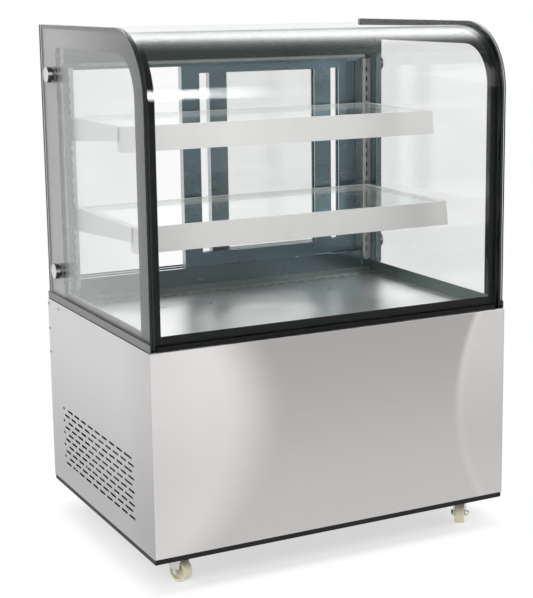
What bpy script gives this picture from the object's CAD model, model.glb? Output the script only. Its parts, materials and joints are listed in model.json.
# Refrigerated display case on casters: steel base, glazed top with a curved front pane, glass
# shelves, and sliding doors and a control plate at the rear. Metres. It stands on z = 0,
# centred on x = 0; the front looks along -Y and the left side is at -X.
import bpy
import bmesh
import math
import json
from mathutils import Vector, Matrix
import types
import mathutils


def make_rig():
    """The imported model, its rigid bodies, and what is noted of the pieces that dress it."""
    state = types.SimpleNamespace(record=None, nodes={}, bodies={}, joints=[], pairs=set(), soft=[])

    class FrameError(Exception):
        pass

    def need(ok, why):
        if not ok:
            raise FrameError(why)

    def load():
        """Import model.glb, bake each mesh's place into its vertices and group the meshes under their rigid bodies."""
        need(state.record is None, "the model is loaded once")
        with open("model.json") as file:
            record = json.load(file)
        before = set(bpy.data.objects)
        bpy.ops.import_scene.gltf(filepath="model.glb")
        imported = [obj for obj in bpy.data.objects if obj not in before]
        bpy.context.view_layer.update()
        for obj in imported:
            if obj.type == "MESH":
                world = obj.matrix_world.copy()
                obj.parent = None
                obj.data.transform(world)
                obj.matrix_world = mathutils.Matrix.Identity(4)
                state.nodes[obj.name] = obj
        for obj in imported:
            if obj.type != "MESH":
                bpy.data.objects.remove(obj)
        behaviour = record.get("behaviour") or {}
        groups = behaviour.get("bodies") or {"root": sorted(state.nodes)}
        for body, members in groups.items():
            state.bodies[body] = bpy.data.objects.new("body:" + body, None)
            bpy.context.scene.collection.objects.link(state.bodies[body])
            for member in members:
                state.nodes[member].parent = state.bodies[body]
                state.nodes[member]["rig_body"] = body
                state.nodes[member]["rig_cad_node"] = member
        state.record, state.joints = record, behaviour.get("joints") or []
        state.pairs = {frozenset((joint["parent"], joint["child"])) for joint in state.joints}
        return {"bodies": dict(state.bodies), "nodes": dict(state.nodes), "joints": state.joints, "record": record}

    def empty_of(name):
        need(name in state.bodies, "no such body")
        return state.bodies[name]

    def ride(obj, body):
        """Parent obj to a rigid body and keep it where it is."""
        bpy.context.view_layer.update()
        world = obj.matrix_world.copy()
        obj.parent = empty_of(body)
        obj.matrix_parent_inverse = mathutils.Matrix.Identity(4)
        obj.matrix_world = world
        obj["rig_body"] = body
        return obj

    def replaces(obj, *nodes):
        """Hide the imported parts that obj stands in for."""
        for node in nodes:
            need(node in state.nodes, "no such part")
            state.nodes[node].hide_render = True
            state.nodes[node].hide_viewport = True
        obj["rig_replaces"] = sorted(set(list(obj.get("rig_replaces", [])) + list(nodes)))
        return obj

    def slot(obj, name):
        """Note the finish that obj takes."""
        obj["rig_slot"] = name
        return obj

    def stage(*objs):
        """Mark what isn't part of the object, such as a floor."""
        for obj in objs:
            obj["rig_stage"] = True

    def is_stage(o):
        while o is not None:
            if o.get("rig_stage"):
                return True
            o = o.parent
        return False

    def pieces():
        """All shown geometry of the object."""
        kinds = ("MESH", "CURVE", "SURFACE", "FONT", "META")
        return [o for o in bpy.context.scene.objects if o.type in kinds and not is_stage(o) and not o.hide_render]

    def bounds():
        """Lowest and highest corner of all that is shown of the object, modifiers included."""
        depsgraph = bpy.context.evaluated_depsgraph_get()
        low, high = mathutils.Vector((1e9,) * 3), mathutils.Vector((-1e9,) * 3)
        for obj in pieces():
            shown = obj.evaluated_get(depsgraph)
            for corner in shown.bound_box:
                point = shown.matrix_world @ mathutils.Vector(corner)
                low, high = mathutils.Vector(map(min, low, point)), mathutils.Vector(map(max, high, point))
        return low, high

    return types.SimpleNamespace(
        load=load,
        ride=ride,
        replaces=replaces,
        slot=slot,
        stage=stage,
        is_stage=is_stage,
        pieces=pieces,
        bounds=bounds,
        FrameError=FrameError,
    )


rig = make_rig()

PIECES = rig.load()["nodes"]
CAD_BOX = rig.bounds()
scene = bpy.context.scene
mm = 0.001
SIDES = ((-1, "left"), (1, "right"))
MATERIALS = {}


# ------------------------------------------------------------------ shader helpers
class Shader:
    """A node tree. Inputs take either a socket, which is linked, or a plain value."""

    def __init__(self, owner, output="ShaderNodeOutputMaterial"):
        owner.use_nodes = True
        self.tree = owner.node_tree
        self.tree.nodes.clear()
        self.output = self.node(output)

    def node(self, kind, **settings):
        node = self.tree.nodes.new(kind)
        for key, value in settings.items():
            setattr(node, key, value)
        return node

    def put(self, socket, value):
        if isinstance(value, bpy.types.NodeSocket):
            self.tree.links.new(value, socket)
        elif socket.type == "RGBA":
            socket.default_value = (*value, 1.0)
        else:
            socket.default_value = value

    def fill(self, node, **inputs):
        """Set inputs by name, with underscores for spaces."""
        for key, value in inputs.items():
            self.put(node.inputs[key.replace("_", " ")], value)
        return node

    def noise(self, scale, detail=3, rough=0.5, stretch=(1, 1, 1), offset=(0, 0, 0)):
        coords = self.node("ShaderNodeTexCoord").outputs["Object"]
        mapping = self.node("ShaderNodeMapping")
        self.fill(mapping, Scale=stretch, Location=offset, Vector=coords)
        texture = self.node("ShaderNodeTexNoise")
        self.fill(texture, Scale=scale, Detail=detail, Roughness=rough, Vector=mapping.outputs[0])
        return texture.outputs["Fac"]

    def calc(self, operation, first, second=None, clamp=False):
        node = self.node("ShaderNodeMath", operation=operation, use_clamp=clamp)
        self.put(node.inputs[0], first)
        if second is not None:
            self.put(node.inputs[1], second)
        return node.outputs[0]

    def add(self, first, second):
        return self.calc("ADD", first, second)

    def minus(self, first, second):
        return self.calc("SUBTRACT", first, second)

    def times(self, first, second):
        return self.calc("MULTIPLY", first, second)

    def size(self, value):
        return self.calc("ABSOLUTE", value)

    def remap(self, value, over, to=(0, 1), curve="LINEAR"):
        """Carry the range `over` to the range `to`."""
        node = self.node("ShaderNodeMapRange", interpolation_type=curve)
        self.fill(node, Value=value, From_Min=over[0], From_Max=over[1],
                  To_Min=to[0], To_Max=to[1])
        return node.outputs["Result"]

    def ease(self, value, over, to=(0, 1)):
        return self.remap(value, over, to, "SMOOTHSTEP")

    def mottle(self, scale, to, detail=3, rough=0.5):
        """Noise whose usual values run through the range `to`."""
        return self.remap(self.noise(scale, detail, rough), (0.3, 0.7), to)

    def mix(self, factor, first, second, blend="MIX"):
        node = self.node("ShaderNodeMix", data_type="RGBA", blend_type=blend)
        for index, value in ((0, factor), (6, first), (7, second)):
            self.put(node.inputs[index], value)
        return node.outputs[2]

    def tint(self, color, factor):
        """A colour times a grey factor."""
        grey = self.node("ShaderNodeCombineColor")
        for channel in grey.inputs:
            self.put(channel, factor)
        return self.mix(1.0, color, grey.outputs[0], "MULTIPLY")

    def split(self, vector):
        node = self.node("ShaderNodeSeparateXYZ")
        self.put(node.inputs[0], vector)
        return node.outputs

    def position(self):
        return self.split(self.node("ShaderNodeTexCoord").outputs["Object"])

    def normal(self):
        return self.split(self.node("ShaderNodeNewGeometry").outputs["Normal"])

    def bump(self, height, strength, depth, edge=None):
        """Bump normal, over edges rounded to the radius `edge` where given."""
        node = self.node("ShaderNodeBump")
        self.fill(node, Strength=strength, Distance=depth, Height=height)
        if edge:
            bevel = self.fill(self.node("ShaderNodeBevel", samples=4), Radius=edge)
            self.fill(node, Normal=bevel.outputs[0])
        return node.outputs[0]

    def principled(self, **inputs):
        return self.fill(self.node("ShaderNodeBsdfPrincipled"), **inputs).outputs[0]

    def show(self, shader):
        self.put(self.output.inputs["Surface"], shader)

    def finish(self, **inputs):
        self.show(self.principled(**inputs))

    def finish_brushed(self, grain, strength, depth, edge, **inputs):
        """Surface with a stretched highlight and brush lines of the given depth."""
        tangent = self.node("ShaderNodeTangent", direction_type="RADIAL", axis="Z")
        self.finish(Tangent=tangent.outputs[0], Normal=self.bump(grain, strength, depth, edge),
                    **inputs)


def material(name):
    MATERIALS[name] = bpy.data.materials.new(name)
    return Shader(MATERIALS[name])


# ------------------------------------------------------------------ material families
def brushed(name, color, rough, grain, vary, relief=0.015, facing=None, facing_over=(0.3, 0.75),
            facing_to=(0, 1)):
    """Brushed sheet steel; grain is the noise scale along X, Y and Z, relief is in mm.

    The colour `facing` comes in as the forward turn of the face crosses facing_over.
    """
    m = material(name)
    lines = m.noise(1.0, detail=4, rough=0.6, stretch=grain)
    broad = m.noise(1.0, detail=2, stretch=tuple(0.23 * g for g in grain), offset=(3.1, 7.7, 1.3))
    soft = m.noise(2.2, detail=2, offset=(1.7, 0.3, 5.1))
    smudge = m.noise(9.0, detail=5, rough=0.62, stretch=(1, 1, 1.6), offset=(4.0, 0, 0))
    value = m.times(m.remap(lines, (0.25, 0.75), (1 - vary, 1 + vary)),
                    m.remap(broad, (0.3, 0.7), (1 - vary * 0.5, 1 + vary * 0.5)))
    value = m.times(value, m.remap(soft, (0.35, 0.65), (0.97, 1.03)))
    shade = m.tint(color, value)
    if facing is not None:
        forward = m.times(m.normal()[1], -1.0)
        shade = m.mix(m.ease(forward, facing_over, facing_to), shade, m.tint(facing, value))
    roughness = m.add(m.remap(smudge, (0.3, 0.7), (rough - 0.035, rough + 0.05)),
                      m.remap(lines, (0.3, 0.7), (-2.0 * relief, 2.0 * relief)))
    m.finish_brushed(lines, strength=0.02, depth=relief * mm, edge=0.0006,
                     Base_Color=shade, Metallic=1.0, Roughness=roughness, Anisotropic=0.5)


def coated(name, color, rough, peel, specular, vary, metallic=0.0, dust=0.0):
    """Painted or powder coated surface with faint orange peel and dust on upward faces."""
    m = material(name)
    shade = m.tint(color, m.mottle(5.0, (1 - vary, 1 + vary)))
    if dust:
        patches = m.remap(m.noise(30, detail=5, rough=0.7), (0.35, 0.7), (0.2, 1.0))
        amount = m.times(m.remap(m.normal()[2], (0.5, 1.0), (0, dust)), patches)
        shade = m.mix(amount, shade, (0.45, 0.44, 0.42))
    m.finish(Base_Color=shade, Metallic=metallic, Specular_IOR_Level=specular,
             Roughness=m.mottle(14, (rough - 0.04, rough + 0.06), detail=4, rough=0.6),
             Normal=m.bump(m.noise(peel, detail=2), 0.08, depth=0.02 * mm, edge=0.0006))


def plastic(name, color, rough, texture=1400.0, strength=0.12, vary=0.03, specular=0.5,
            scatter=0.0, streak=None):
    """Moulded plastic or rubber; scatter lets light in, streak is the colour of stains."""
    m = material(name)
    shade = m.tint(color, m.mottle(40.0, (1 - vary, 1 + vary)))
    if streak:
        stains = m.remap(m.noise(120, detail=4, rough=0.7), (0.55, 0.75), (0, 0.5))
        shade = m.mix(stains, shade, streak)
    extra = {}
    if scatter:
        extra = {"Subsurface_Weight": scatter, "Subsurface_Radius": (0.004, 0.003, 0.002)}
    m.finish(Base_Color=shade, Specular_IOR_Level=specular,
             Roughness=m.mottle(60, (rough - 0.05, rough + 0.06), rough=0.6),
             Normal=m.bump(m.noise(texture, rough=0.6), strength, depth=0.03 * mm, edge=0.0004),
             **extra)


def metal(name, color, rough, vary, scale, edge=None, spots=None):
    """Bare or plated metal; scale sets its mottling, spots is the colour of small stains."""
    m = material(name)
    shade = m.tint(color, m.mottle(scale, (1 - vary, 1 + vary), detail=4, rough=0.6))
    if spots:
        stains = m.remap(m.noise(scale * 3, detail=5, rough=0.7), (0.58, 0.72), (0, 0.6))
        shade = m.mix(stains, shade, spots)
    m.finish(Base_Color=shade, Metallic=1.0,
             Roughness=m.mottle(scale * 1.7, (rough - 0.03, rough + 0.05), detail=4, rough=0.6),
             Normal=m.bump(m.noise(scale * 8, rough=0.6), 0.06, depth=0.02 * mm, edge=edge))


def glass(name, color, mirror, floor, front=None):
    """Thin sheet glass: tinted see-through plus a mirror that grows at a glancing view.

    floor is the least mirroring. With front given, upright areas fall to that value, and
    the mirror fades near the crown and when seen from the rear.
    """
    m = material(name)
    mirror_color = (0.97, 0.985, 0.98)
    smear = m.noise(3.0, detail=4, rough=0.55, stretch=(1, 1, 2.2))
    clear = m.fill(m.node("ShaderNodeBsdfTransparent"),
                   Color=m.tint(color, m.remap(smear, (0.35, 0.75), (1.0, 0.985))))
    glossy = m.fill(m.node("ShaderNodeBsdfGlossy"), Color=mirror_color, Roughness=0.004)
    geometry = m.node("ShaderNodeNewGeometry").outputs
    facing = m.node("ShaderNodeVectorMath", operation="DOT_PRODUCT")
    m.put(facing.inputs[0], geometry["Normal"])
    m.put(facing.inputs[1], geometry["Incoming"])
    away = m.minus(1.0, m.size(facing.outputs["Value"]))
    if front is not None:
        floor = m.ease(m.size(m.normal()[1]), (0.62, 0.95), (floor, front))
        view_y = m.split(geometry["Incoming"])[1]
        upward = m.size(m.normal()[2])
        crown = m.minus(1.0, m.times(m.ease(upward, (0.925, 0.965), (0.0, 0.30)),
                                     m.ease(upward, (0.985, 0.999), (1.0, 0.0))))
        from_rear = m.ease(view_y, (0.0, 0.25), (1.0, 0.03))
        m.fill(glossy, Color=m.tint(mirror_color, m.times(crown, from_rear)))
    amount = m.calc("ADD", m.times(m.calc("POWER", away, 5.0), mirror), floor, clamp=True)
    if front is not None:
        amount = m.times(amount, m.ease(view_y, (0.0, 0.25), (1.0, 0.12)))
    blend = m.node("ShaderNodeMixShader")
    for index, value in enumerate((amount, clear.outputs[0], glossy.outputs[0])):
        m.put(blend.inputs[index], value)
    m.show(blend.outputs[0])


def frit(name, color, rough, specular, front_color=None, fade_y=None):
    """Glossy ceramic print; front_color turns into color over the fade_y range."""
    m = material(name)
    shade = m.tint(color, m.mottle(220, (0.94, 1.06), detail=4, rough=0.6))
    if front_color is not None:
        start = m.tint(front_color, m.mottle(220, (0.95, 1.05), detail=4, rough=0.6))
        shade = m.mix(m.ease(m.position()[1], fade_y), start, shade)
    m.finish(Base_Color=shade, Roughness=m.mottle(5, (rough * 0.8, rough * 1.3)),
             Specular_IOR_Level=specular)


# ------------------------------------------------------------------ single materials
def clamp_bolt():
    """Clamp bolt: bright face on a black lacquered edge."""
    m = material("clamp_bolt")
    outward = m.size(m.normal()[0])
    x = m.size(m.position()[0])
    outer_face = m.times(m.ease(outward, (0.80, 0.92)), m.remap(x, (0.450, 0.4505)))
    bright = m.calc("MAXIMUM", outer_face, m.remap(x, (0.4400, 0.4405), (1, 0)))
    z = m.position()[2]
    # distance from the nearer of two heights, one at each bolt
    height = m.calc("MINIMUM", m.size(m.minus(z, 1.088)), m.size(m.minus(z, 0.617)))
    rim = m.mix(m.ease(height, (0.001, 0.005), (1, 0)), (0.02, 0.02, 0.02), (0.42, 0.42, 0.41))
    face = m.tint((0.80, 0.80, 0.79), m.mottle(260, (0.94, 1.04), rough=0.6))
    m.finish(Base_Color=m.mix(bright, rim, face), Metallic=bright,
             Roughness=m.mottle(300, (0.16, 0.24), rough=0.6),
             Normal=m.bump(m.noise(900, detail=2), 0.05, depth=0.02 * mm))


def stainless_front():
    """Front sheet: horizontal brush lines and the soft upright bands it mirrors."""
    m = material("stainless_front")
    lines = m.noise(1.0, detail=4, rough=0.6, stretch=(3, 520, 520))
    x, _, z = m.position()

    def bowed(operation, height, bow):
        """x shifted by bow times the squared distance from a height."""
        rise = m.minus(z, height)
        return m.calc(operation, x, m.times(m.times(rise, rise), bow))

    left_x = bowed("ADD", height=0.37, bow=1.9)
    right_x = bowed("SUBTRACT", height=0.32, bow=1.15)
    middle = m.ease(z, (0.10, 0.56), (0.66, 0.50))
    left = m.times(m.ease(left_x, (-0.285, -0.120), (1, 0)), m.ease(z, (0.20, 0.53), (0.20, 0.44)))
    corner = m.times(m.ease(x, (-0.45, -0.33), (1, 0)), m.remap(z, (0.08, 0.5), (-0.045, -0.05)))
    right = m.times(m.ease(right_x, (0.306, 0.330)), m.ease(z, (0.20, 0.53), (0.03, 0.26)))
    line_strength = 1.0
    line = m.times(m.ease(m.size(m.minus(right_x, 0.326)), (0.0, 0.022), (0.035, 0.0)),
                   line_strength)
    value = m.add(m.add(middle, left), m.add(m.add(right, corner), line))
    value = m.times(value, m.remap(lines, (0.25, 0.75), (0.975, 1.025)))
    smudge = m.noise(7.0, detail=5, rough=0.62, stretch=(1, 1, 1.6))
    roughness = m.add(m.remap(smudge, (0.3, 0.7), (0.28, 0.33)),
                      m.remap(lines, (0.3, 0.7), (-0.02, 0.02)))
    m.finish_brushed(lines, strength=0.06, depth=0.010 * mm, edge=0.0008,
                     Base_Color=m.tint((1.0, 0.972, 0.962), value), Metallic=1.0,
                     Roughness=roughness, Anisotropic=0.55)


def stainless_side():
    """Side sheet: upright brush lines, lighter at the top where it mirrors the room."""
    m = material("stainless_side")
    lines = m.noise(1.0, detail=4, rough=0.6, stretch=(500, 3, 500))
    _, y, z = m.position()
    value = m.times(m.ease(z, (0.08, 0.50), (0.56, 0.80)), m.ease(y, (-0.34, -0.12), (0.88, 1.0)))
    value = m.times(value, m.remap(lines, (0.25, 0.75), (0.975, 1.025)))
    roughness = m.add(m.mottle(6.0, (0.28, 0.34), detail=4, rough=0.6),
                      m.remap(lines, (0.3, 0.7), (-0.02, 0.02)))
    m.finish_brushed(lines, strength=0.06, depth=0.010 * mm, edge=0.0008,
                     Base_Color=m.tint((1.0, 0.985, 0.98), value), Metallic=1.0,
                     Roughness=roughness, Anisotropic=0.5)


def stainless_deck():
    """Deck pan: satin, with darker, cooler walls facing inward at the right and rear."""
    m = material("stainless_deck")
    lines = m.noise(1.0, detail=4, rough=0.6, stretch=(4, 420, 420))
    x, y, _ = m.position()
    normal_x, normal_y, _ = m.normal()
    value = m.remap(lines, (0.25, 0.75), (0.985, 1.015))
    patches = m.remap(m.noise(2.5), (0.35, 0.65), (0.90, 1.08))
    satin = m.tint((0.66, 0.665, 0.655), m.times(value, patches))
    wall = m.tint((0.17, 0.215, 0.205), value)

    def inward(place, over, normal):
        return m.times(m.remap(place, over), m.ease(m.times(normal, -1.0), (0.4, 0.8)))

    walls = m.calc("MAXIMUM", inward(x, (-0.05, 0.05), normal_x), inward(y, (0.0, 0.05), normal_y))
    m.finish_brushed(lines, strength=0.04, depth=0.010 * mm, edge=0.0015,
                     Base_Color=m.mix(walls, satin, wall), Metallic=0.9, Anisotropic=0.3,
                     Roughness=m.mottle(7.0, (0.26, 0.36), detail=4, rough=0.6))


def shelf_white():
    """Shelf enamel, a touch deeper towards the right and lower down."""
    m = material("shelf_white")
    x, _, z = m.position()
    low = m.ease(z, (0.80, 0.95), (0.90, 1.0))
    bands = m.noise(1.0, detail=2, stretch=(9, 0.2, 0.2))
    value = m.times(m.times(m.ease(x, (-0.42, 0.42), (1.0, 0.80)), low),
                    m.remap(bands, (0.35, 0.65), (0.965, 1.02)))
    m.finish(Base_Color=m.tint((0.80, 0.797, 0.79), value), Specular_IOR_Level=0.45,
             Roughness=m.mottle(14, (0.27, 0.36), detail=4, rough=0.6),
             Normal=m.bump(m.noise(700, detail=2), 0.05, depth=0.02 * mm, edge=0.0006))


def led_diffuser():
    m = material("led_diffuser")
    m.finish(Base_Color=m.tint((0.20, 0.21, 0.21), m.mottle(60, (0.94, 1.0), detail=2)),
             Roughness=0.35, Emission_Color=(1.0, 0.985, 0.96), Emission_Strength=0.04,
             Normal=m.bump(m.noise(300, detail=2), 0.05, depth=0.02 * mm))


def glass_edge():
    m = material("glass_edge")
    m.finish(Base_Color=m.tint((0.014, 0.021, 0.019), m.mottle(300, (0.8, 1.25), rough=0.6)),
             Roughness=0.12, Specular_IOR_Level=0.3,
             Normal=m.bump(m.noise(900, detail=2), 0.05, depth=0.01 * mm))


def display_segment():
    m = material("display_segment")
    m.finish(Base_Color=m.tint((0.55, 0.02, 0.01), m.mottle(900, (0.9, 1.05), detail=2)),
             Roughness=0.4, Emission_Color=(1.0, 0.06, 0.03), Emission_Strength=1.1)


# ------------------------------------------------------------------ material list
TEAL = (0.125, 0.172, 0.182)
LEVEL = (4, 420, 420)       # brush lines along X
UPRIGHT = (420, 420, 4)     # brush lines along Z

clamp_bolt()
stainless_front()
stainless_side()
brushed("stainless_rear", (0.10, 0.10, 0.10), rough=0.34, grain=(4, 500, 500), vary=0.012,
        facing=(0.68, 0.675, 0.665), facing_over=(-0.97, -0.90), facing_to=(1, 0))
for name, grain in (("stainless_frame", LEVEL), ("stainless_upright", UPRIGHT)):
    brushed(name, (0.66, 0.67, 0.67), rough=0.24, grain=grain, vary=0.006, relief=0.0, facing=TEAL)
brushed("stainless_header", (0.60, 0.62, 0.62), rough=0.26, grain=LEVEL, vary=0.012,
        facing=(0.045, 0.062, 0.057), facing_over=(0.02, 0.25))
brushed("door_aluminium", (0.60, 0.62, 0.63), rough=0.28, grain=UPRIGHT, vary=0.006, relief=0.0,
        facing=(0.142, 0.200, 0.230))
stainless_deck()
brushed("steel_pilaster", (0.62, 0.61, 0.585), rough=0.30, grain=UPRIGHT, vary=0.04)
metal("galvanised", (0.58, 0.60, 0.61), rough=0.38, vary=0.12, scale=45.0, edge=0.0006)
metal("zinc_plate", (0.66, 0.66, 0.63), rough=0.26, vary=0.08, scale=160.0, edge=0.0005,
      spots=(0.50, 0.48, 0.42))
metal("screw_steel", (0.42, 0.41, 0.40), rough=0.30, vary=0.10, scale=200.0, edge=0.0004)
metal("anodised_channel", (0.25, 0.255, 0.25), rough=0.32, vary=0.03, scale=60.0, edge=0.0004)
coated("black_coat", (0.012, 0.012, 0.013), rough=0.42, peel=900, specular=0.22, vary=0.10,
       dust=0.05)
coated("black_channel", (0.008, 0.009, 0.009), rough=0.45, peel=900, specular=0.14, vary=0.10)
shelf_white()
coated("compressor_enamel", (0.012, 0.012, 0.013), rough=0.22, peel=500, specular=0.6, vary=0.1,
       dust=0.15)
coated("well_liner", (0.68, 0.70, 0.71), rough=0.40, peel=500, specular=0.4, vary=0.03,
       metallic=0.6)
plastic("cream_nylon", (0.72, 0.69, 0.52), rough=0.45, texture=900, strength=0.15, vary=0.05,
        specular=0.45, scatter=0.25, streak=(0.50, 0.47, 0.34))
plastic("roller_nylon", (0.80, 0.79, 0.74), rough=0.40)
plastic("black_plastic", (0.020, 0.020, 0.022), rough=0.45, texture=2200, strength=0.35, vary=0.1)
plastic("key_grey", (0.34, 0.35, 0.37), rough=0.38)
plastic("rocker_black", (0.015, 0.015, 0.016), rough=0.22)
plastic("cord_rubber", (0.018, 0.018, 0.019), rough=0.62, texture=700, strength=0.3, vary=0.1,
        specular=0.35)
plastic("black_gasket", (0.012, 0.013, 0.013), rough=0.5, texture=600, strength=0.25, vary=0.1,
        specular=0.3)
plastic("grey_hose", (0.42, 0.42, 0.42), rough=0.5)
plastic("fan_moulding", (0.05, 0.05, 0.055), rough=0.5)
metal("coil_fins", (0.72, 0.73, 0.74), rough=0.34, vary=0.10, scale=60.0)
metal("copper_tube", (0.78, 0.40, 0.24), rough=0.24, vary=0.12, scale=70.0,
      spots=(0.35, 0.16, 0.09))
led_diffuser()
glass("clear_glass", (0.984, 0.987, 0.985), mirror=0.95, floor=0.03)
glass("curved_glass", (0.985, 0.986, 0.984), mirror=0.95, floor=0.04, front=0.006)
glass("shelf_glass", (0.962, 0.972, 0.968), mirror=0.8, floor=0.03)
glass("door_glass", (0.984, 0.986, 0.985), mirror=0.7, floor=0.02)
frit("frit_black", (0.005, 0.006, 0.006), rough=0.12, specular=0.12)
frit("frit_side", (0.27, 0.27, 0.265), rough=0.14, specular=0.15,
     front_color=(0.006, 0.007, 0.007), fade_y=(-0.34, 0.30))
glass_edge()
display_segment()
frit("display_window", (0.012, 0.004, 0.004), rough=0.16, specular=0.35)

# material: the CAD pieces that wear it
WEARERS = {
    "black_coat": "base_frame",
    "galvanised": "base_pan evaporator_fan_housing condenser_fan_shroud drain_pan",
    "stainless_front": "front_panel",
    "stainless_side": "left_side_panel right_side_panel",
    "stainless_rear": "rear_panel",
    "well_liner": "cooling_tank",
    "stainless_deck": "deck_pan",
    "coil_fins": "evaporator_coil condenser_coil",
    "fan_moulding": "evaporator_fan condenser_fan",
    "compressor_enamel": "compressor",
    "copper_tube": "refrigerant_pipes",
    "grey_hose": "drain_hose",
    "black_plastic": "control_panel",
    "key_grey": "button_up button_down button_set",
    "rocker_black": "power_switch light_switch",
    "cord_rubber": "power_cord",
    "stainless_upright": "left_rear_post right_rear_post",
    "steel_pilaster": "shelf_pilasters",
    "stainless_header": "header_canopy",
    "led_diffuser": "led_strips",
    "anodised_channel": "side_glass_channels",
    "black_channel": "front_glass_channel",
    "clamp_bolt": "glass_clamp_bolts",
    "stainless_frame": "door_top_track door_bottom_track",
    "shelf_white": "shelf_brackets upper_shelf_frame lower_shelf_frame",
    "shelf_glass": "shelf_glasses",
    "screw_steel": "panel_screws",
    "zinc_plate": "caster_plates caster_fork_fl caster_fork_fr caster_fork_rl caster_fork_rr",
    "cream_nylon": "caster_wheel_fl caster_wheel_fr caster_wheel_rl caster_wheel_rr",
    "door_aluminium": "left_door_frame right_door_frame",
    "door_glass": "left_door_glass right_door_glass",
    "roller_nylon": "left_door_roller_a left_door_roller_b right_door_roller_a "
                    "right_door_roller_b",
}
for name, wearers in WEARERS.items():
    for wearer in wearers.split():
        for material_slot in PIECES[wearer].material_slots:
            material_slot.link = "OBJECT"
            material_slot.material = MATERIALS[name]


# ------------------------------------------------------------------ mesh helpers
def new_piece(name, verts, faces, materials, slot="black_plastic", body="cabinet", crease=35.0):
    """Smooth-shaded mesh, sharp above the crease angle in degrees, riding on a body."""
    mesh = bpy.data.meshes.new(name)
    mesh.from_pydata(verts, [], faces)
    mesh.validate()
    mesh.update()
    bm = bmesh.new()
    bm.from_mesh(mesh)
    bmesh.ops.recalc_face_normals(bm, faces=bm.faces)
    bm.to_mesh(mesh)
    bm.free()
    piece = bpy.data.objects.new(name, mesh)
    scene.collection.objects.link(piece)
    for key in materials:
        mesh.materials.append(MATERIALS[key])
    for face in mesh.polygons:
        face.use_smooth = True
    mesh.set_sharp_from_angle(angle=math.radians(crease))
    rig.slot(piece, slot)
    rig.ride(piece, body)
    return piece


def add_bevel(piece, width, angle):
    bevel = piece.modifiers.new("bevel", "BEVEL")
    bevel.width = width
    bevel.segments = 2
    bevel.limit_method = "ANGLE"
    bevel.angle_limit = math.radians(angle)


def slab_faces(n):
    """Two n-sided caps and the walls between them."""
    walls = [[i, (i + 1) % n, n + (i + 1) % n, n + i] for i in range(n)]
    return [list(range(n)), list(range(2 * n - 1, n - 1, -1))] + walls


def prism(name, loop, x_ends, materials, **options):
    """Closed (y, z) loop extruded along X."""
    verts = [(x, y, z) for x in x_ends for y, z in loop]
    return new_piece(name, verts, slab_faces(len(loop)), materials, **options)


def plate(name, outline, y_ends, material_key, **options):
    """Flat (x, z) outline extruded along Y."""
    verts = [(x, y, z) for y in y_ends for x, z in outline]
    return new_piece(name, verts, slab_faces(len(outline)), [material_key], **options)


def ring_prism(name, outer, inner, x_ends, material_key):
    """Ring between two (y, z) loops with the same number of points, extruded along X."""
    n = len(outer)
    verts = [(x, y, z) for x in x_ends for loop in (outer, inner) for y, z in loop]
    faces = []
    for i in range(n):
        j = (i + 1) % n
        faces += [[i, j, n + j, n + i], [2 * n + i, 3 * n + i, 3 * n + j, 2 * n + j],
                  [i, 2 * n + i, 2 * n + j, j], [n + i, n + j, 3 * n + j, 3 * n + i]]
    new_piece(name, verts, faces, [material_key])


# ------------------------------------------------------------------ glass outlines
GLASS_FRONT, GLASS_REAR = -0.3295, 0.3277       # y ends of the side glass
GLASS_FOOT, GLASS_TOP = 0.536, 1.2015           # z ends of the side glass
BEND = 0.153                                    # radius of its upper front corner
BEND_Y, BEND_Z = GLASS_FRONT + BEND, GLASS_TOP - BEND
CLAMP_Y, CLAMP_Z = 0.253, (1.085, 0.614)        # clamp bolt centres


def side_loop(front, rear, below, above, bend=None, corner=0.006):
    """Side glass outline, inset on its four sides; bend is the upper front radius."""
    y0, y1 = GLASS_FRONT + front, GLASS_REAR - rear
    z0, z1 = GLASS_FOOT + below, GLASS_TOP - above
    if bend is None:
        bend = BEND - max(front, above)
    # centre y, centre z, radius, first angle, steps of each quarter turn
    quarters = (
        (y0 + bend, z1 - bend, bend, math.pi, 28),
        (y1 - corner, z1 - corner, corner, math.pi / 2, 4),
        (y1 - corner, z0 + corner, corner, 0.0, 4),
        (y0 + corner, z0 + corner, corner, -math.pi / 2, 4),
    )
    points = []
    for y, z, radius, start, steps in quarters:
        for k in range(steps + 1):
            angle = start - (math.pi / 2) * k / steps
            points.append((y + radius * math.cos(angle), z + radius * math.sin(angle)))
    return points


def curved_path(radius, foot, rear, steps=48):
    """Curved glass section at a radius: from the foot up, round the bend and to the rear."""
    points = [(BEND_Y - radius, foot + part * (BEND_Z - foot)) for part in (0, 0.2, 0.6)]
    for k in range(steps + 1):
        angle = math.pi - (math.pi / 2) * k / steps
        points.append((BEND_Y + radius * math.cos(angle), BEND_Z + radius * math.sin(angle)))
    return points + [(BEND_Y + 0.4 * (rear - BEND_Y), BEND_Z + radius), (rear, BEND_Z + radius)]


def curved_loop(outer, inner, foot, rear):
    return curved_path(outer, foot, rear) + curved_path(inner, foot, rear)[::-1]


def clamp_circle(radius, height):
    angles = [2 * math.pi * k / 40 for k in range(40)]
    return [(CLAMP_Y + radius * math.cos(a), height + radius * math.sin(a)) for a in angles]


# ------------------------------------------------------------------ side glass
SIDE_PANES = (("outer", 0.442, 0.446), ("inner", 0.435, 0.439))     # name, x ends
SPACER_X = (0.43955, 0.4418)                                        # between the panes
WINDOW = (0.065, 0.0977, 0.005, 0.0534)         # clear window insets, as in side_loop
WINDOW_BEND = 0.094
# name, x ends, extra inset of the window, material
BORDERS = (("outer", 0.43935, 0.4395, 0.0, "frit_side"),
           ("inner", 0.4391, 0.43925, 0.0002, "frit_black"))


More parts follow.
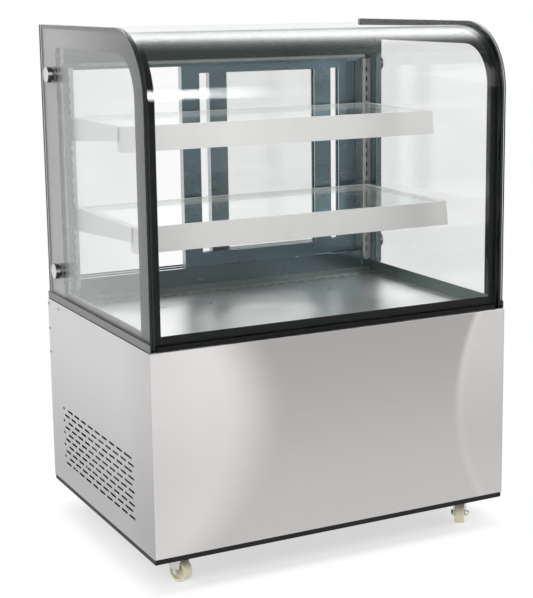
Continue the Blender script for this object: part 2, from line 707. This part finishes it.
def side_pane(name, x_ends):
    pane = prism(name, side_loop(0, 0, 0, 0), x_ends, ["clear_glass", "glass_edge"],
                 slot="clear_glass")
    for face in pane.data.polygons:
        if abs(face.normal.x) < 0.5:
            face.material_index = 1
    add_bevel(pane, 0.5 * mm, angle=60)
    return pane


def side_glazing(sign, side):
    """Double pane with spacer, clamp bosses and the printed borders on the inner pane."""
    panes = [side_pane(side + "_pane_" + name, (sign * a, sign * b)) for name, a, b in SIDE_PANES]
    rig.replaces(panes[0], side + "_side_glass")
    spacer_x = [sign * x for x in SPACER_X]
    ring_prism(side + "_spacer", side_loop(*[0.0012] * 4), side_loop(*[0.0095] * 4, corner=0.003),
               spacer_x, "black_gasket")
    for letter, height in zip("ab", CLAMP_Z):
        ring_prism(side + "_clamp_boss_" + letter, clamp_circle(0.014, height),
                   clamp_circle(0.0072, height), spacer_x, "frit_side")
    for name, a, b, extra, key in BORDERS:
        window = side_loop(*[inset + extra for inset in WINDOW], WINDOW_BEND - extra, 0.010)
        ring_prism(side + "_border_" + name, side_loop(*[0.0008] * 4), window,
                   (sign * a, sign * b), key)


for sign, side in SIDES:
    side_glazing(sign, side)

# ------------------------------------------------------------------ curved front glass
PANE_OUTER, PANE_INNER = 0.1435, 0.1375         # bend radii of its two faces
PRINT = (PANE_INNER - 0.0001, PANE_INNER - 0.0004)      # radii of the print on its inner face

front_pane = prism("curved_front_pane", curved_loop(PANE_OUTER, PANE_INNER, GLASS_FOOT, 0.326),
                   (-0.4348, 0.4348), ["curved_glass", "glass_edge"], slot="clear_glass",
                   crease=30)
for face in front_pane.data.polygons:
    at_foot = abs(face.normal.z) > 0.9 and face.center.z < 0.537
    at_rear = face.normal.y > 0.9 and face.center.y > 0.325
    if abs(face.normal.x) > 0.5 or at_foot or at_rear:
        face.material_index = 1
add_bevel(front_pane, 0.5 * mm, angle=60)
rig.replaces(front_pane, "front_glass")

for sign, side in SIDES:
    prism("front_border_" + side, curved_loop(*PRINT, 0.537, 0.3255),
          (sign * 0.4345, sign * 0.4150), ["frit_black"])
print_y = [BEND_Y - radius for radius in PRINT]
prism("front_border_foot", [(print_y[0], 0.5365), (print_y[0], 0.563),
                            (print_y[1], 0.563), (print_y[1], 0.5365)],
      (-0.4148, 0.4148), ["frit_black"])

# ------------------------------------------------------------------ rear control plate
PLATE_X, PLATE_Y = 0.190, 0.3307                # origin of the display and key positions
WINDOW_X = (PLATE_X + 0.0184, PLATE_X + 0.0696)
WINDOW_Z = (0.4464, 0.4736)
WINDOW_MIDDLE = sum(WINDOW_X) / 2
FIGURE_START, FIGURE_PITCH, FIGURE_FOOT = -0.0145, 0.0165, 0.4505
BAR_WIDE, BAR_HIGH = 0.0110, 0.0095             # length of a level bar and an upright bar
BAR_HALF = 0.0011                               # half the width of a bar
# bar: column and row of its start, then of its end
BARS = {"a": (0, 2, 1, 2), "b": (1, 2, 1, 1), "c": (1, 1, 1, 0), "d": (0, 0, 1, 0),
        "e": (0, 1, 0, 0), "f": (0, 2, 0, 1), "g": (0, 1, 1, 1)}
KEY_X = PLATE_X + 0.088
# key, z of its middle, outline of its mark as (x, z) from there
KEY_MARKS = (
    ("button_up", 0.474, [(-0.0020, -0.0012), (0.0020, -0.0012), (0.0, 0.0016)]),
    ("button_down", 0.460, [(-0.0020, 0.0012), (0.0020, 0.0012), (0.0, -0.0016)]),
    ("button_set", 0.446, [(-0.0022, -0.0006), (0.0022, -0.0006), (0.0022, 0.0006),
                           (-0.0022, 0.0006)]),
)


def display_bar(figure, bar):
    """One bar of a figure; u runs to the right as seen from behind the case."""
    column0, row0, column1, row1 = BARS[bar]
    left = FIGURE_START + FIGURE_PITCH * figure
    u0, u1 = left + column0 * BAR_WIDE, left + column1 * BAR_WIDE
    z0, z1 = FIGURE_FOOT + row0 * BAR_HIGH, FIGURE_FOOT + row1 * BAR_HIGH
    t = BAR_HALF
    if row0 == row1:
        points = [(u0, z0), (u0 + t, z0 + t), (u1 - t, z0 + t),
                  (u1, z0), (u1 - t, z0 - t), (u0 + t, z0 - t)]
    else:
        points = [(u0, z0), (u0 - t, z0 - t), (u0 - t, z1 + t),
                  (u0, z1), (u0 + t, z1 + t), (u0 + t, z0 - t)]
    plate("display_bar_%d%s" % (figure, bar), [(WINDOW_MIDDLE - u, z) for u, z in points],
          (PLATE_Y + 0.00283, PLATE_Y + 0.0031), "display_segment")


(x0, x1), (z0, z1) = WINDOW_X, WINDOW_Z
window = plate("display_window", [(x0, z0), (x1, z0), (x1, z1), (x0, z1)],
               (PLATE_Y + 0.00225, PLATE_Y + 0.0028), "display_window")
add_bevel(window, 0.2 * mm, angle=40)
for figure, bars in enumerate(("abcdef", "bcfg")):      # reads 04
    for bar in bars:
        display_bar(figure, bar)
for key, height, outline in KEY_MARKS:
    plate(key + "_mark", [(KEY_X + x, height + z) for x, z in outline],
          (PLATE_Y + 0.0043, PLATE_Y + 0.0044), "screw_steel", body=key, slot="grey_keys")

# ------------------------------------------------------------------ side channel seals
# name, x ends, z ends
SEALS = (("top", 0.44615, 0.4479, 0.55155, 0.55265), ("foot", 0.44815, 0.4497, 0.53305, 0.53415))
SEAL_FRONT, SEAL_REAR = GLASS_FRONT + 0.002, 0.3272
for sign, side in SIDES:
    for name, x0, x1, z0, z1 in SEALS:
        loop = [(SEAL_FRONT, z0), (SEAL_FRONT, z1), (SEAL_REAR, z1), (SEAL_REAR, z0)]
        seal = prism(side + "_channel_seal_" + name, loop, (sign * x0, sign * x1),
                     ["black_gasket"])
        add_bevel(seal, 0.3 * mm, angle=40)

# ------------------------------------------------------------------ camera
CAMERA_PLACE = (-1.54124, -3.08600, 1.26805)
TURN, DROP, ROLL = map(math.radians, (-27.6624, 10.6793, -0.5490))  # DROP is the downward tilt

camera_data = bpy.data.cameras.new("camera")
camera = bpy.data.objects.new("camera", camera_data)
scene.collection.objects.link(camera)
forward = Vector((-math.sin(TURN) * math.cos(DROP), math.cos(TURN) * math.cos(DROP),
                  -math.sin(DROP)))
level_right = forward.cross(Vector((0, 0, 1))).normalized()
level_up = level_right.cross(forward)
right = level_right * math.cos(ROLL) + level_up * math.sin(ROLL)
up = level_up * math.cos(ROLL) - level_right * math.sin(ROLL)
rotation = Matrix((right, up, -forward)).transposed()
camera.matrix_world = Matrix.Translation(CAMERA_PLACE) @ rotation.to_4x4()
camera_data.sensor_width = 36.0
camera_data.lens = 87.805084
camera_data.shift_x = -0.05329431
camera_data.shift_y = -0.05118729
camera_data.clip_start = 0.05
camera_data.clip_end = 60.0
scene.camera = camera

# ------------------------------------------------------------------ render settings
scene.view_settings.view_transform = "Standard"
scene.view_settings.look = "None"
scene.cycles.transparent_max_bounces = 40
scene.cycles.max_bounces = 14
scene.cycles.transmission_bounces = 14
scene.cycles.glossy_bounces = 6
scene.cycles.sample_clamp_indirect = 6.0


# ------------------------------------------------------------------ world
def studio_world():
    """White to the camera; soft glows behind and at the left light the case."""
    base, rear_glow, left_glow = 0.52, 0.85, 0.45
    softbox, zenith = 3.3, -0.34        # added in mirrors only: high at the rear, overhead
    world = bpy.data.worlds.new("studio")
    scene.world = world
    m = Shader(world, "ShaderNodeOutputWorld")
    x, y, z = m.split(m.node("ShaderNodeTexCoord").outputs["Generated"])
    level = m.calc("SQRT", m.add(m.add(m.times(x, x), m.times(y, y)), 1e-6))
    level_x, level_y = m.calc("DIVIDE", x, level), m.calc("DIVIDE", y, level)
    elevation = m.calc("ARCTAN2", z, level)

    def climb(low, high, to=(0, 1)):
        """Ease between two elevations in degrees."""
        return m.ease(elevation, (math.radians(low), math.radians(high)), to)

    rays = m.node("ShaderNodeLightPath").outputs
    mirrored, seen = rays["Is Glossy Ray"], rays["Is Camera Ray"]
    rear = m.times(m.ease(level_y, (-0.05, 0.6)),
                   m.times(climb(-6, 9, (0.25, 1)), climb(57, 73, (1, 0))))
    high = m.times(m.ease(level_y, (0.1, 0.6)), m.times(climb(16, 44), climb(42, 60, (1, 0))))
    high = m.times(m.times(high, mirrored), softbox)
    left = m.times(m.ease(level_x, (-0.95, -0.35), (1, 0)), climb(30, 60, (1, 0)))
    overhead = m.times(m.times(mirrored, climb(50, 72)), zenith)
    light = m.add(m.add(m.add(base, overhead), m.times(rear, rear_glow)),
                  m.add(high, m.times(left, left_glow)))
    light = m.add(m.times(light, m.minus(1.0, seen)), seen)
    background = m.fill(m.node("ShaderNodeBackground"), Color=(1, 1, 1), Strength=light)
    m.show(background.outputs[0])


studio_world()


# ------------------------------------------------------------------ lights
def area_light(name, place, target, width, power, height=None):
    light = bpy.data.lights.new(name, "AREA")
    light.shape = "RECTANGLE"
    light.size = width
    light.size_y = height or width
    light.energy = power
    lamp = bpy.data.objects.new(name, light)
    scene.collection.objects.link(lamp)
    aim = (Vector(target) - Vector(place)).to_track_quat("-Z", "Y")
    lamp.matrix_world = Matrix.Translation(place) @ aim.to_matrix().to_4x4()
    lamp.visible_camera = False
    return lamp


area_light("key", place=(-2.2, -2.6, 2.9), target=(0, 0, 0.6), width=1.8, power=55)
area_light("fill", place=(2.6, -2.2, 1.8), target=(0, 0, 0.6), width=1.6, power=30)
top = area_light("top", place=(0.0, 0.2, 3.2), target=(0, 0, 0.5), width=2.4, power=30)
top.visible_glossy = False

# softbox that only the curved pane mirrors, built from nested cards so its edge is soft
CARD_X, CARD_Z = 0.68, 1.57
# growth beyond the middle size, brightness
CARDS = ((-0.14, 110.0), (-0.08, 90.0), (-0.02, 60.0), (0.04, 40.0),
         (0.10, 24.0), (0.16, 14.0), (0.22, 8.0), (0.28, 5.0))
receivers = bpy.data.collections.new("curved_pane_only")
receivers.objects.link(front_pane)
for i, (growth, brightness) in enumerate(CARDS):
    width, height = 0.56 + 2 * growth, 0.66 + 1.6 * growth
    card = area_light("pane_card_%d" % i, place=(CARD_X, -3.0, CARD_Z),
                      target=(CARD_X, 0.0, CARD_Z), width=width, height=height,
                      power=brightness * math.pi * width * height)
    card.light_linking.receiver_collection = receivers
    card.visible_diffuse = False


# ------------------------------------------------------------------ floor
def studio_floor():
    """Glowing floor that turns to a plain lit surface under and close to the case."""
    seen_glow, other_glow = 1.0, 0.80       # to the camera, and to all other rays
    m = material("studio_floor")
    x, y, _ = m.position()

    def beyond(axis, half):
        return m.calc("MAXIMUM", m.minus(m.size(axis), half), 0.0)

    out_x, out_y = beyond(x, 0.44), beyond(y, 0.32)
    distance = m.calc("SQRT", m.add(m.times(out_x, out_x), m.times(out_y, out_y)))
    near = m.ease(distance, (0.0, 0.045), (0.42, 0.0))
    lit = m.principled(Base_Color=(0.90, 0.90, 0.90), Roughness=0.6)
    seen = m.node("ShaderNodeLightPath").outputs["Is Camera Ray"]
    glow = m.fill(m.node("ShaderNodeEmission"),
                  Strength=m.remap(seen, (0, 1), (other_glow, seen_glow)))
    blend = m.node("ShaderNodeMixShader")
    for index, value in enumerate((near, glow.outputs[0], lit)):
        m.put(blend.inputs[index], value)
    m.show(blend.outputs[0])


FLOOR_HALF = 14
studio_floor()
corners = [(x * FLOOR_HALF, y * FLOOR_HALF, 0) for x, y in ((-1, -1), (1, -1), (1, 1), (-1, 1))]
floor_mesh = bpy.data.meshes.new("floor")
floor_mesh.from_pydata(corners, [], [[0, 1, 2, 3]])
floor = bpy.data.objects.new("floor", floor_mesh)
floor_mesh.materials.append(MATERIALS["studio_floor"])
scene.collection.objects.link(floor)
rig.stage(floor)

VIS_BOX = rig.bounds()
try:
    json.dump({"cad": [[float(v) for v in p] for p in CAD_BOX],
               "visual": [[float(v) for v in p] for p in VIS_BOX]},
              open("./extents.json", "w"))
except OSError:
    pass
